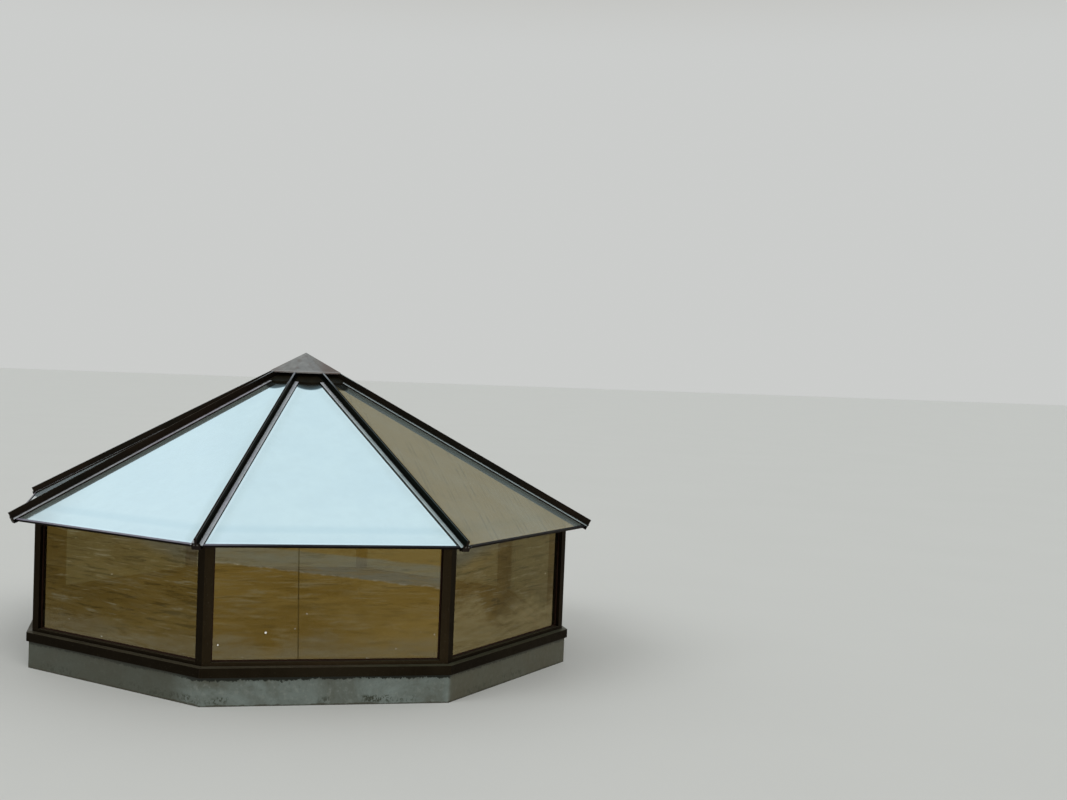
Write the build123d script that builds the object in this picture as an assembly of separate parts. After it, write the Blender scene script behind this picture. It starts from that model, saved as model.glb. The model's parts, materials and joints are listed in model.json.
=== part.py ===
from build123d import *
from math import asin, atan, cos, radians, sin, tan
import os

# Octagonal roof skylight: a coated curb, eight upright panes between corner posts, and eight sloped
# panes that meet under a small cap. Millimetres, +Z up. The origin is on the ground at the centre.
# Side 1 faces -Y, and the sides and corners are numbered counter-clockwise seen from above.
# Distances called apothem run from the centre to a side, those called radius to a corner.

SIDES = 8
BEAD_FACETS = 8
SCREW_FLATS = 6
TURN = 360 / SIDES
HALF_TURN = TURN / 2

# Curb and the timber plate on it
curb_apothem = 1425.0
curb_width = 100.0
curb_height = 147.0
plate_height = 37.5

# Wall frame: how far its outer face stands behind the curb's, and the depth of posts and rails
frame_setback = 15.0
frame_depth = 80.0
post_face = 42.0
post_wall = 3.0
rail_wall = 3.0
sill_height = 16.0
sill_fall = 2.0
daylight_height = 542.0
head_height = 65.5

# Upright glass and its pocket in posts and rails
glass_setback = 22.0
glass_thickness = 6.0
pocket_depth = 12.0
pocket_end_gap = 2.0
wall_gasket = 4.0
gasket_show = 6.0
gasket_bite = 5.0

# Sill flashing
flashing_sheet = 2.5
flashing_projection = 28.0
flashing_fall = 4.0
fascia_height = 45.0
fascia_return = 8.0
mitre_gap = 1.0

# Roof glass
roof_slope = 29.25
eave_overhang = 103.0
roof_glass = 6.0
bed_gasket = 5.0
cover_gasket = 5.0
pane_side_gap = 10.0
pane_top_apothem = 150.0

# Eave trim, a channel pushed over the panes' lower edge
trim_sheet = 2.0
trim_grip = 8.0
trim_edge_gap = 2.0
trim_tape = 2.0

# Hip rafters
rafter_table = 56.0
rafter_tail = 7.0
rafter_body_width = 40.0
rafter_body_depth = 48.0
rafter_wall = 3.0
gutter_width = 12.0
gutter_lip = 12.0
gutter_sheet = 2.5
spine_width = 5.0
spine_height = 30.0

# Hip caps
cap_width = 60.0
wing_sheet = 3.0
rib_width = 11.0
rib_height = 32.0
rib_wall = 2.2
rib_edge = 1.5
bead_radius = 3.5
bead_bite = 0.8
hip_overhang = 2.5
cap_top_radius = 100.0

# End plates and their screws
end_plate_width = 41.0
end_plate_sheet = 5.0
end_plate_drop = 1.0
end_plate_rise = 6.0
screw_radius = 1.8
screw_length = 16.0
screw_head_radius = 4.0
screw_head_height = 2.6
hole_clearance = 0.2

# Apex
hub_apothem = 130.0
hub_wall = 8.0
hub_height = 76.0
hub_cover = 9.0
collar_radius = 230.0
collar_hole_apothem = 60.0
collar_sheet = 2.5
apex_cap_radius = 207.0
apex_cap_sheet = 3.0
apex_cap_skirt = 5.0

# Clearances
seat_gap = 0.3
spine_gap = 0.5
gasket_gap = 3.0
strip_width = 15.0
head_strip_width = 20.0

# Lengths and heights that follow from the sizes above
half = radians(HALF_TURN)
slope = radians(roof_slope)
hip_slope = atan(tan(slope) * cos(half))
wing_tilt = asin(sin(slope) * sin(half))
frame_apothem = curb_apothem - frame_setback
plate_top = curb_height + plate_height
sill_base = plate_top + flashing_sheet
sill_top = sill_base + sill_height
head_base = sill_top + daylight_height
frame_back = frame_apothem - frame_depth
pocket_front = frame_apothem - glass_setback + wall_gasket
pocket_back = frame_apothem - glass_setback - glass_thickness - wall_gasket
rail_half_length = frame_apothem * tan(half) - post_face
pane_edge = frame_apothem + eave_overhang
under_glass = roof_glass + bed_gasket
wing_base = cover_gasket
wing_top = cover_gasket + wing_sheet
rib_top = wing_top + rib_height
bead_place = rib_width / 2 + bead_radius - bead_bite
tail_base = under_glass + rafter_tail
body_base = tail_base + rafter_body_depth
hip_end = pane_edge / cos(half) + hip_overhang
gutter_edge = rafter_body_width / 2 + gutter_width
heel_radius = frame_back / cos(half) - gutter_edge * tan(half) - seat_gap


def glass_z(apothem):
    """Height of the roof glass's upper face at a distance from the centre, square to a side."""
    face_height = head_base + head_height + under_glass / cos(slope)
    return face_height + (frame_apothem - apothem) * tan(slope)


def hip_z(radius):
    """Height of the same faces' meeting line at a distance from the centre, along a hip."""
    return glass_z(radius * cos(half))


def along_hip(radius):
    """Distance up the hip from its lower end to a distance from the centre."""
    return (hip_end - radius) / cos(hip_slope)


def on_wing(across, lift):
    """Point of a hip's cross-section that lies a height square above the glass beside the hip."""
    return (across, lift / cos(wing_tilt) - abs(across) * tan(wing_tilt))


# Upright cross-section of a side: local x is the distance from the centre, local y the height
SIDE_SECTION = Plane(origin=(0, 0, 0), x_dir=(0, -1, 0), z_dir=(-1, 0, 0))

# Upper face of side 1's roof glass: local x along the side, local y up the slope
ROOF_FACE = Plane(
    origin=(0, -pane_edge, glass_z(pane_edge)), x_dir=(1, 0, 0), z_dir=(0, -sin(slope), cos(slope))
)

# Cross-section of that glass: local x up the slope, local y square to the glass
ROOF_SECTION = Plane(
    origin=(0, -pane_edge, glass_z(pane_edge)), x_dir=(0, cos(slope), sin(slope)), z_dir=(1, 0, 0)
)

# Cross-section of a hip over -Y at its lower end: local x across, local y square to the hip
HIP_SECTION = Plane(
    origin=(0, -hip_end, hip_z(hip_end)), x_dir=(1, 0, 0), z_dir=(0, -cos(hip_slope), -sin(hip_slope))
)

UP = Vector(0, 0, 1)
OUT_OF_ROOF = ROOF_FACE.z_dir
DOWN_HIP = HIP_SECTION.z_dir

# Side 1's two corners lie half a turn step to each side of -Y
CORNER_ANGLES = (-HALF_TURN, HALF_TURN)


def octagon(apothem):
    """Eight-sided outline with one side facing -Y."""
    return RegularPolygon(apothem, SIDES, major_radius=False, rotation=HALF_TURN)


def outline(plane, points):
    """Face with straight edges through the given points of a plane."""
    return plane * Polygon(*points, align=None)


def mirrored(points):
    """The points followed by their mirror images, so that a half outline becomes whole."""
    return points + [(-x, y) for x, y in reversed(points) if x > 0]


def side_bar(points, half_length):
    """Straight bar along side 1 with an upright cross-section."""
    return extrude(outline(SIDE_SECTION, points), amount=half_length, both=True)


def sector(side_gap):
    """Plan wedge of side 1, held back from both corner lines by a gap."""
    reach = 2 * pane_edge
    start = side_gap / sin(half)
    points = [(0, -start), (reach * tan(half), -start - reach), (-reach * tan(half), -start - reach)]
    return extrude(Polygon(*points, align=None), amount=reach, dir=UP)


def hip_bar(points, start_radius, end_radius):
    """Straight bar along the hip over -Y, between two distances from the centre."""
    profile = outline(HIP_SECTION.offset(-along_hip(start_radius)), points)
    return extrude(profile, amount=along_hip(end_radius) - along_hip(start_radius), dir=-DOWN_HIP)


def inward_of(radius):
    """Space over -Y that lies nearer to the centre than a radius."""
    return Pos(Y=pane_edge - radius) * Box(pane_edge, 2 * pane_edge, 4 * pane_edge)


def around(shape, index):
    """Copy of a side 1 piece for another side."""
    return Rot(Z=TURN * index) * shape


def at_corner(shape, index):
    """Copy of a piece modelled over -Y for the corner after a side."""
    return Rot(Z=TURN * index + HALF_TURN) * shape


def at_each_side(shapes):
    return [around(shape, index) for index in range(SIDES) for shape in shapes]


def at_each_corner(shapes):
    return [at_corner(shape, index) for index in range(SIDES) for shape in shapes]


def make_curb():
    ring = octagon(curb_apothem) - octagon(curb_apothem - curb_width)
    return extrude(ring, amount=curb_height)


def make_plate_length():
    points = [
        (frame_back, curb_height),
        (frame_apothem, curb_height),
        (frame_apothem, plate_top),
        (frame_back, plate_top),
    ]
    return side_bar(points, curb_apothem) & sector(mitre_gap / 2)


def make_flashing_length():
    """Sheet that lies under the frame, falls to the edge and turns down over the curb."""
    face = frame_apothem + flashing_projection
    edge_top = sill_base - flashing_fall
    foot = edge_top - fascia_height
    points = [
        (frame_back, plate_top),
        (frame_apothem, plate_top),
        (face - flashing_sheet, edge_top - flashing_sheet),
        (face - flashing_sheet, foot + flashing_sheet),
        (face - fascia_return, foot + flashing_sheet),
        (face - fascia_return, foot),
        (face, foot),
        (face, edge_top),
        (frame_apothem, sill_base),
        (frame_back, sill_base),
    ]
    return side_bar(points, curb_apothem) & sector(mitre_gap / 2)


def rail_cell(front, back, base, top):
    """Hollow of an extruded rail between two upright walls."""
    points = [
        (front - rail_wall, base + rail_wall),
        (back + rail_wall, base + rail_wall),
        (back + rail_wall, top - rail_wall),
        (front - rail_wall, top - rail_wall),
    ]
    return side_bar(points, frame_apothem)


def make_sill_rail():
    """Bottom rail: a falling ledge in front of the glass, its pocket, and an inner stop."""
    stop_top = sill_top + sill_fall
    points = [
        (frame_apothem, sill_base),
        (frame_apothem, sill_top),
        (pocket_front, stop_top),
        (pocket_front, stop_top - pocket_depth),
        (pocket_back, stop_top - pocket_depth),
        (pocket_back, stop_top),
        (frame_back, stop_top),
        (frame_back, sill_base),
    ]
    rail = side_bar(points, rail_half_length)
    front_cell = rail_cell(frame_apothem, pocket_front, sill_base, sill_top)
    back_cell = rail_cell(pocket_back, frame_back, sill_base, stop_top)
    return rail - front_cell - back_cell


def head_top(apothem):
    return glass_z(apothem) - under_glass / cos(slope)


def make_head_rail():
    """Top rail with a sloped seat for the roof glass, cut back where the rafters pass over."""
    points = [
        (frame_apothem, head_base),
        (frame_apothem, head_top(frame_apothem)),
        (frame_back, head_top(frame_back)),
        (frame_back, head_base),
        (pocket_back, head_base),
        (pocket_back, head_base + pocket_depth),
        (pocket_front, head_base + pocket_depth),
        (pocket_front, head_base),
    ]
    front = frame_apothem - rail_wall
    back = frame_back + rail_wall
    roof_wall = rail_wall / cos(slope)
    cell = [
        (front, head_base + pocket_depth + rail_wall),
        (front, head_top(front) - roof_wall),
        (back, head_top(back) - roof_wall),
        (back, head_base + pocket_depth + rail_wall),
    ]
    rail = side_bar(points, rail_half_length) - side_bar(cell, frame_apothem)
    passage = make_rafter_passage()
    for angle in CORNER_ANGLES:
        rail = rail - Rot(Z=angle) * passage
    return rail


def post_point(along, depth):
    """Plan point of the post over -Y, a distance along its right face and a depth behind it."""
    corner = frame_apothem / cos(half)
    x = along * cos(half) - depth * sin(half)
    y = -corner + along * sin(half) + depth * cos(half)
    return (x, y)


def make_corner_post():
    """Extruded post with two faces, a glass pocket on each flank and a chamber on each side of it."""
    lip = frame_apothem - pocket_front
    back_lip = frame_apothem - pocket_back
    flank = [
        post_point(0, 0),
        post_point(post_face, 0),
        post_point(post_face, lip),
        post_point(post_face - pocket_depth, lip),
        post_point(post_face - pocket_depth, back_lip),
        post_point(post_face, back_lip),
        post_point(post_face, frame_depth),
        (0, -frame_back / cos(half)),
    ]
    front_chamber = [
        post_point(0, 0),
        post_point(post_face, 0),
        post_point(post_face, lip),
        (0, -pocket_front / cos(half)),
    ]
    back_chamber = [
        (0, -pocket_back / cos(half)),
        post_point(post_face, back_lip),
        post_point(post_face, frame_depth),
        (0, -frame_back / cos(half)),
    ]
    section = Polygon(*mirrored(flank), align=None)
    for chamber in (front_chamber, back_chamber):
        room = Polygon(*mirrored(chamber), align=None)
        section = section - offset(room, amount=-post_wall, kind=Kind.INTERSECTION)
    post = Pos(Z=sill_base) * extrude(section, amount=glass_z(0), dir=UP)
    return post - make_above_post()


def make_above_post():
    """Space over the plane that the posts' tops are cut to, under the rafters' tails."""
    reach = frame_apothem
    points = [(-reach, -tail_base), (reach, -tail_base), (reach, reach), (-reach, reach)]
    return hip_bar(points, hip_end + reach, 0)


def make_wall_pane():
    half_width = rail_half_length + pocket_depth - pocket_end_gap
    base = sill_top + sill_fall - pocket_depth + pocket_end_gap
    top = head_base + pocket_depth - pocket_end_gap
    front = frame_apothem - glass_setback
    back = front - glass_thickness
    return side_bar([(front, base), (front, top), (back, top), (back, base)], half_width)


def make_wall_gaskets():
    """Outer and inner gasket frames that fill the pocket beside the glass and show as a thin edge."""
    base = sill_top + sill_fall
    height = head_base - base
    middle = base + height / 2
    outside = Rectangle(2 * (rail_half_length + gasket_bite), height + 2 * gasket_bite)
    inside = Rectangle(2 * (rail_half_length - gasket_show), height - 2 * gasket_show)
    frame = outside - inside
    gaskets = []
    for front in (pocket_front, pocket_back + wall_gasket):
        plane = Plane(origin=(0, -front, middle), x_dir=(1, 0, 0), z_dir=(0, -1, 0))
        gaskets.append(extrude(plane * frame, amount=-wall_gasket))
    return gaskets


def roof_half_width(apothem, side_gap):
    return apothem * tan(half) - side_gap / cos(half)


def make_roof_pane():
    """Sloped pane, narrowing to a short upper edge that the apex cap covers."""
    length = (pane_edge - pane_top_apothem) / cos(slope)
    low = roof_half_width(pane_edge, pane_side_gap)
    high = roof_half_width(pane_top_apothem, pane_side_gap)
    points = [(-low, 0), (low, 0), (high, length), (-high, length)]
    return extrude(outline(ROOF_FACE, points), amount=roof_glass, dir=-OUT_OF_ROOF)


def make_eave_trim():
    """Channel over the pane's lower edge, bedded on a tape above and touching the glass below."""
    lip = -trim_edge_gap - trim_sheet
    top = trim_tape + trim_sheet
    bottom = -roof_glass - trim_sheet
    points = [
        (lip, top),
        (lip, bottom),
        (trim_grip, bottom),
        (trim_grip, -roof_glass),
        (-trim_edge_gap, -roof_glass),
        (-trim_edge_gap, trim_tape),
        (trim_grip, trim_tape),
        (trim_grip, top),
    ]
    bar = extrude(outline(ROOF_SECTION, points), amount=pane_edge, both=True)
    return bar & sector(pane_side_gap)


def make_trim_tape():
    points = [(0, 0), (trim_grip, 0), (trim_grip, trim_tape), (0, trim_tape)]
    bar = extrude(outline(ROOF_SECTION, points), amount=pane_edge, both=True)
    return bar & sector(pane_side_gap)


def make_head_strip():
    """Gasket between a head rail's sloped seat and the roof glass."""
    front = (pane_edge - pocket_front) / cos(slope)
    back = front + head_strip_width
    points = [(front, -under_glass), (back, -under_glass), (back, -roof_glass), (front, -roof_glass)]
    bar = extrude(outline(ROOF_SECTION, points), amount=pane_edge, both=True)
    return bar & sector(rafter_table / 2 + gasket_gap)


def hip_strip(lift, thickness, inner, end_radius):
    """Gasket strip beside a hip, parallel to the glass."""
    outer = inner + strip_width
    points = [
        on_wing(inner, lift),
        on_wing(outer, lift),
        on_wing(outer, lift + thickness),
        on_wing(inner, lift + thickness),
    ]
    trim_back = (pane_edge - trim_grip * cos(slope)) / cos(half) - outer * tan(half)
    return hip_bar(points, trim_back - gasket_gap, end_radius)


def make_hip_strips():
    """Strips under the cap's wings and between the rafter's table and the glass."""
    inner = pane_side_gap + seat_gap
    pane_top_radius = pane_top_apothem / cos(half)
    cover = hip_strip(0, cover_gasket, inner, pane_top_radius)
    bed = hip_strip(-under_glass, bed_gasket, inner, pane_top_radius)
    strips = [cover, bed]
    return strips + [mirror(strip, about=Plane.YZ) for strip in strips]


def tail_points(clearance):
    """Half cross-section of the rafter's flat table, which runs on over the post to the eave."""
    edge = rafter_table / 2 + clearance
    top = clearance - under_glass
    return [on_wing(0, top), on_wing(edge, top), (edge, -tail_base - clearance)]


def make_rafter_passage():
    """Room that a rafter's tail needs in the ends of the head rails."""
    return hip_bar(mirrored(tail_points(seat_gap)), hip_end, hub_apothem)


def make_hip_rafter():
    """Bar under a hip: table and spine to the eave, and a hollow body with gutters behind the post."""
    tail = hip_bar(mirrored(tail_points(0)), hip_end, 0)
    side = rafter_body_width / 2
    body_points = [
        (side, -tail_base),
        (side, gutter_sheet - body_base),
        (gutter_edge - gutter_sheet, gutter_sheet - body_base),
        (gutter_edge - gutter_sheet, gutter_lip - body_base),
        (gutter_edge, gutter_lip - body_base),
        (gutter_edge, -body_base),
    ]
    cell_points = [
        (side - rafter_wall, -tail_base - rafter_wall),
        (side - rafter_wall, rafter_wall - body_base),
    ]
    body = hip_bar(mirrored(body_points), hip_end, 0) - hip_bar(mirrored(cell_points), hip_end, 0)
    spine_points = [(spine_width / 2, -under_glass - rafter_tail / 2), (spine_width / 2, spine_height)]
    spine = hip_bar(mirrored(spine_points), hip_end, 0)
    rafter = tail + (body & inward_of(heel_radius)) + spine
    return rafter - inward_of(hub_apothem)


def cap_screw_places():
    """Places across the hip of the two beads that the end plate's screws run into."""
    height = on_wing(bead_place, wing_top)[1] + screw_radius / 2
    return [(-bead_place, height), (bead_place, height)]


def make_hip_cap():
    """Outer cap: two wings parallel to the glass, a bored screw bead on each, and a tall hollow rib."""
    edge = cap_width / 2
    rib = rib_width / 2
    points = [
        on_wing(0, wing_base),
        on_wing(edge, wing_base),
        on_wing(edge, wing_top),
        on_wing(rib, wing_top),
        (rib, rib_top - rib_edge),
        (rib - rib_edge, rib_top),
    ]
    slot = [(rib - rib_wall, 0), (rib - rib_wall, rib_top - rib_wall)]
    cap = hip_bar(mirrored(points), hip_end, cap_top_radius)
    bead = RegularPolygon(bead_radius, BEAD_FACETS, rotation=180 / BEAD_FACETS)
    bore = RegularPolygon(screw_radius + hole_clearance, SCREW_FLATS, major_radius=False)
    for place in cap_screw_places():
        cap = cap + extrude(HIP_SECTION * Pos(*place) * bead, amount=-along_hip(cap_top_radius))
    for place in cap_screw_places():
        cap = cap - extrude(HIP_SECTION * Pos(*place) * bore, amount=-along_hip(0))
    return cap - hip_bar(mirrored(slot), hip_end, 0)


def make_end_plate():
    """Plate over a hip's lower end, with a narrow tab that closes the rib."""
    edge = end_plate_width / 2
    shoulder = wing_top + end_plate_rise
    points = [
        (edge, -tail_base - end_plate_drop),
        (edge, shoulder),
        (rib_width / 2, shoulder),
        (rib_width / 2, rib_top),
    ]
    plate = extrude(outline(HIP_SECTION, mirrored(points)), amount=end_plate_sheet, dir=DOWN_HIP)
    for place in cap_screw_places():
        hole = HIP_SECTION * Pos(*place) * Circle(screw_radius + hole_clearance)
        plate = plate - extrude(hole, amount=end_plate_sheet)
    return plate


def make_end_screws():
    """Hexagon-head screws through the end plate into the cap's beads."""
    screws = []
    for place in cap_screw_places():
        outer_face = HIP_SECTION.offset(end_plate_sheet)
        head = outer_face * Pos(*place) * RegularPolygon(screw_head_radius, SCREW_FLATS)
        tip = seat_gap - screw_length
        shank = HIP_SECTION.offset(tip) * Pos(*place) * Circle(screw_radius)
        shank_solid = extrude(shank, amount=end_plate_sheet - tip)
        screws.append(shank_solid + extrude(head, amount=screw_head_height))
    return screws


def make_apex_hub():
    """Eight-sided drum with a flat for each rafter, open at the top and closed below."""
    top = hip_z(hub_apothem) - under_glass / cos(hip_slope) - hub_cover
    outer = RegularPolygon(hub_apothem, SIDES, major_radius=False)
    inner = RegularPolygon(hub_apothem - hub_wall, SIDES, major_radius=False)
    drum = Pos(Z=top - hub_height) * extrude(outer, amount=hub_height)
    hollow = Pos(Z=top - hub_height + hub_wall) * extrude(inner, amount=hub_height)
    return drum - hollow


def pyramid(lift, rim_apothem):
    """Solid under eight planes parallel to the roof glass, raised square to it, down to a rim."""
    rise = lift / cos(slope)
    rim = Pos(Z=glass_z(rim_apothem) + rise) * octagon(rim_apothem)
    tip = Vertex(0, 0, glass_z(0) + rise)
    return loft([rim.face(), tip])


def make_apex_collar():
    """Round sheet over the wings' upper ends, slotted for the ribs, with a rim turned down to the panes."""
    reach = 2 * collar_radius
    over = pyramid(wing_top + collar_sheet, reach)
    disc = Circle(collar_radius) - octagon(collar_hole_apothem)
    band = Circle(collar_radius) - Circle(collar_radius - collar_sheet)
    sheet = (over - pyramid(wing_top, reach)) & extrude(disc, amount=2 * glass_z(0))
    rim = (over - pyramid(seat_gap, reach)) & extrude(band, amount=2 * glass_z(0))
    wing_edge = cap_width / 2 + spine_gap
    wing_room = [on_wing(0, wing_top), on_wing(wing_edge, wing_top), on_wing(wing_edge, -wing_top)]
    wing_passage = hip_bar(mirrored(wing_room), hip_end, 0)
    slot_edge = bead_place + bead_radius + spine_gap
    slot_room = [(slot_edge, -rib_top), (slot_edge, rib_top)]
    slot = hip_bar(mirrored(slot_room), hip_end, cap_top_radius - seat_gap)
    for index in range(SIDES):
        rim = rim - at_corner(wing_passage, index)
    collar = sheet + rim
    for index in range(SIDES):
        collar = collar - at_corner(slot, index)
    return collar


def make_apex_cap():
    """Eight-sided sheet cap resting on the ribs, with a short skirt notched over each of them."""
    rim = apex_cap_radius * cos(half)
    rib_lift = (rib_top / cos(hip_slope) + seat_gap) * cos(slope)
    outer = pyramid(rib_lift + apex_cap_sheet, rim)
    inner_rim = rim - apex_cap_sheet
    inner = pyramid(rib_lift, inner_rim)
    rim_top = glass_z(rim) + (rib_lift + apex_cap_sheet) / cos(slope)
    inner_top = glass_z(inner_rim) + rib_lift / cos(slope)
    skirt_base = rim_top - apex_cap_sheet / cos(slope) - apex_cap_skirt
    skirt = Pos(Z=skirt_base) * extrude(octagon(rim), amount=rim_top - skirt_base)
    room = Pos(Z=skirt_base) * extrude(octagon(inner_rim), amount=inner_top - skirt_base)
    cap = outer + skirt - inner - room
    notch_edge = rib_width / 2 + spine_gap
    notch = hip_bar(mirrored([(notch_edge, 0), (notch_edge, rib_top + seat_gap)]), hip_end, 0)
    for index in range(SIDES):
        cap = cap - at_corner(notch, index)
    return cap


def write(shape, node):
    export_step(shape, "parts/" + node + ".step")


def write_group(shapes, node):
    """Writes like pieces that share one node as separate solids."""
    write(Compound(children=shapes), node)


def main():
    os.makedirs("parts", exist_ok=True)
    by_side = {
        "sill_rail": make_sill_rail(),
        "wall_pane": make_wall_pane(),
        "roof_pane": make_roof_pane(),
    }
    by_corner = {
        "corner_post": make_corner_post(),
        "hip_rafter": make_hip_rafter(),
        "hip_cap": make_hip_cap(),
    }
    for index in range(SIDES):
        for name, shape in by_side.items():
            write(around(shape, index), f"{name}_{index + 1}")
        for name, shape in by_corner.items():
            write(at_corner(shape, index), f"{name}_{index + 1}")
    write(make_curb(), "curb")
    write_group(at_each_side([make_plate_length()]), "curb_plate")
    write_group(at_each_side([make_flashing_length()]), "sill_flashing")
    write_group(at_each_side([make_head_rail()]), "head_rails")
    write_group(at_each_side([make_eave_trim()]), "eave_trims")
    write_group(at_each_side(make_wall_gaskets()), "wall_gaskets")
    strips = at_each_side([make_head_strip(), make_trim_tape()]) + at_each_corner(make_hip_strips())
    write_group(strips, "roof_gaskets")
    write_group(at_each_corner([make_end_plate()]), "hip_end_plates")
    write_group(at_each_corner(make_end_screws()), "end_plate_screws")
    write(make_apex_hub(), "apex_hub")
    write(make_apex_collar(), "apex_collar")
    write(make_apex_cap(), "apex_cap")


main()
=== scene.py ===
import json
import math

import bpy
from mathutils import Matrix, Vector

# Dressed octagonal roof skylight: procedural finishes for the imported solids, a pale floor, soft light
# and the camera. Metres, +Z up, side 1 faces -Y, and +X is to the right of that side. Tones are linear
# red, green and blue. "To hip" is a distance in plan from the nearest hip, and "to side" is a distance
# from the centre, square to the nearest side. A pair of numbers is a range, unless its comment says
# what else it is: an effect starts at the first value and is full at the second.

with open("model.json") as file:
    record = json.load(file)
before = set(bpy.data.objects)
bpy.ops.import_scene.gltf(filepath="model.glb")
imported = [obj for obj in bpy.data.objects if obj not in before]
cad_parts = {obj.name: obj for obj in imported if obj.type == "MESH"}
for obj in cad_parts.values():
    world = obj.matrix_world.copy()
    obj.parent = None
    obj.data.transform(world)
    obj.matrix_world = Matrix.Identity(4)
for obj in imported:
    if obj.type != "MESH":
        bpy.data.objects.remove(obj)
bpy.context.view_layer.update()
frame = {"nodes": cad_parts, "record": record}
nodes = frame["nodes"]
slot_of = {part["node"]: part["material_slot"] for part in frame["record"]["subparts"]}

# Camera, as turns about the vertical, up or down, and about its own line of sight; the frame of its
# picture is moved right and up by two shares of its width
CAMERA_PLACE = (-0.8054, -7.6219, 1.6409)
CAMERA_YAW = 12.443
CAMERA_PITCH = -2.492
CAMERA_ROLL = 2.22
CAMERA_LENS = 44.936
CAMERA_SHIFT = (0.0750, 0.0187)
CAMERA_REACH = 200.0
SENSOR_WIDTH = 36.0

# Floor, by its half width, and surroundings; a rise is the upward part of a direction
FLOOR_REACH = 90.0
FLOOR_TONE = (0.60, 0.60, 0.57)
FLOOR_PATCH_TONE = (0.54, 0.54, 0.51)
FLOOR_ROUGHNESS = 0.85
HORIZON_TONE = (0.60, 0.61, 0.60)
LOW_SKY_TONE = (0.205, 0.155, 0.068)
LOW_SKY_RISE = (0.22, 0.44)
HIGH_SKY_TONE = (0.66, 0.86, 0.95)
HIGH_SKY_RISE = (0.56, 0.63)
AMBIENT_TONE = (0.97, 0.99, 1.0)
AMBIENT_STRENGTH = 0.66

# Lamps: name, place that it shines from, angle in degrees, strength and tone
LAMPS = (
    ("key", (1.5, -8.0, 8.0), 40.0, 0.7, (1.0, 0.99, 0.97)),
    ("fill", (-7.0, -3.0, 7.0), 35.0, 0.6, (0.95, 0.975, 1.0)),
)
LAMP_SHINE = 0.2

# Sockets of a colour Mix node
MIX_SHARE, MIX_FIRST, MIX_SECOND, MIX_RESULT = 0, 6, 7, 2

# Tone that takes nothing away
WHITE = (1.0, 1.0, 1.0)

# Angle between neighbouring sides of the octagon
SIDE_TURN = math.pi / 4

# Tangent of half that angle, taken slightly wide, and the fade from there into the next pane
SIDE_SPREAD = 0.43
SIDE_SPREAD_FADE = (0.0, 0.03)

# Detail of a noise where a finish names none
NOISE_DETAIL = 4.0

# Upward part of the normal on faces that hold dust and film, which on hip caps also stands for painted sky
# sheen, and on the flat tops of the eave trims
LYING = (0.38, 0.52)
TRIM_TOP = (0.6, 0.75)

# Agreement of a bevelled normal with the flat one, and samples for bevels at edges and under bumps
EDGE_AGREEMENT = (0.99, 0.8)
EDGE_SAMPLES = 6
BUMP_SAMPLES = 4

# Hip caps: edge of the rib's flat top, start of the wing, and places of two scored lines, all to hip
RIB_EDGE = (0.0058, 0.0054)
WING_EDGE = (0.0112, 0.0122)
SCORED_LINES = (0.0145, 0.0195)
SCORED_WIDTH = (0.0012, 0.0006)
SCORED_FILM = 0.55
# Painted highlight lines on the hip caps: share and reach to side on the rib's top, share on chamfers, and
# the chamfers' tilt and turn
RIB_HIGHLIGHT = 0.6
RIB_HIGHLIGHT_REACH = (0.38, 0.2)
CHAMFER_HIGHLIGHT = 0.5
CHAMFER_TILT = (0.84, 0.78)
CHAMFER_TURN = (0.45, 0.6)

# Eave trims: film with painted sky sheen grows from one place along X to the other, between two shares
TRIM_SHEEN_REACH = (-0.2, -0.8)
TRIM_FILM_AND_SHEEN = (0.12, 0.9)

# Dark metals. The first two are shares of each colour that the film keeps where it turns mauve and where
# it turns green, and the next two are the places along X where those tints grow.
MAUVE = (0.80, 0.70, 0.82)
VERDANT = (0.80, 0.98, 0.96)
MAUVE_SIDE = (0.2, -0.1)
VERDANT_SIDE = (0.1, 0.3)
EDGE_SHEEN = (0.5, 0.48, 0.45)
METAL_SPECKS = (0.20, 0.17, 0.13)
METAL_EDGES = (0.16, 0.12, 0.085)
METAL_EDGE_RADIUS = 0.0016
METAL_SHINE = 0.2
BARE_METALLIC = 0.8
FILMED_METALLIC = 0.1
# Turn of the normal along X over which faces turned sideways take painted shade
FLANK_SHADE_TURN = (0.3, 0.6)

# Apex cap: three cloudy tones, stained corners along X, and the turned hem by height
CAP_STAINS = ((0.11, 0.085, 0.075), (0.20, 0.185, 0.172), (0.29, 0.28, 0.265))
CAP_RUNS = (0.13, 0.09, 0.075)
RIGHT_STAIN = (0.08, 0.16)
RIGHT_STAIN_TONE = (0.13, 0.08, 0.066)
LEFT_STAIN = (-0.17, -0.22)
LEFT_STAIN_TONE = (0.15, 0.105, 0.10)
CAP_EDGE_TONE = (0.42, 0.40, 0.38)
CAP_EDGE_RADIUS = 0.0025
HEM_TOP = (1.5580, 1.5560)
HEM_FOOT = (1.5520, 1.5535)
HEM_TONE = (0.44, 0.42, 0.40)

# Roof glass: two cloudy tones, the strip over the head rail, clean rims by caps and trims, a dirty foot, a
# painted dark reflection of the cap round the collar, painted shade in patches, and fine slanting lines
# (the direction across them, and their scale)
ROOF_TONES = ((0.93, 0.94, 0.92), (0.88, 0.90, 0.90))
ROOF_RUNS = (0.86, 0.87, 0.86)
RAIL_START = (1.36, 1.40)
RAIL_END = (1.44, 1.41)
RAIL_TONE = (0.74, 0.80, 0.82)
CLEAN_BY_HIP = (0.044, 0.038)
CLEAN_BY_EAVE = (1.488, 1.494)
ROOF_FOOT = (1.40, 1.50)
ROOF_FOOT_TONE = (0.80, 0.82, 0.83)
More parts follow.
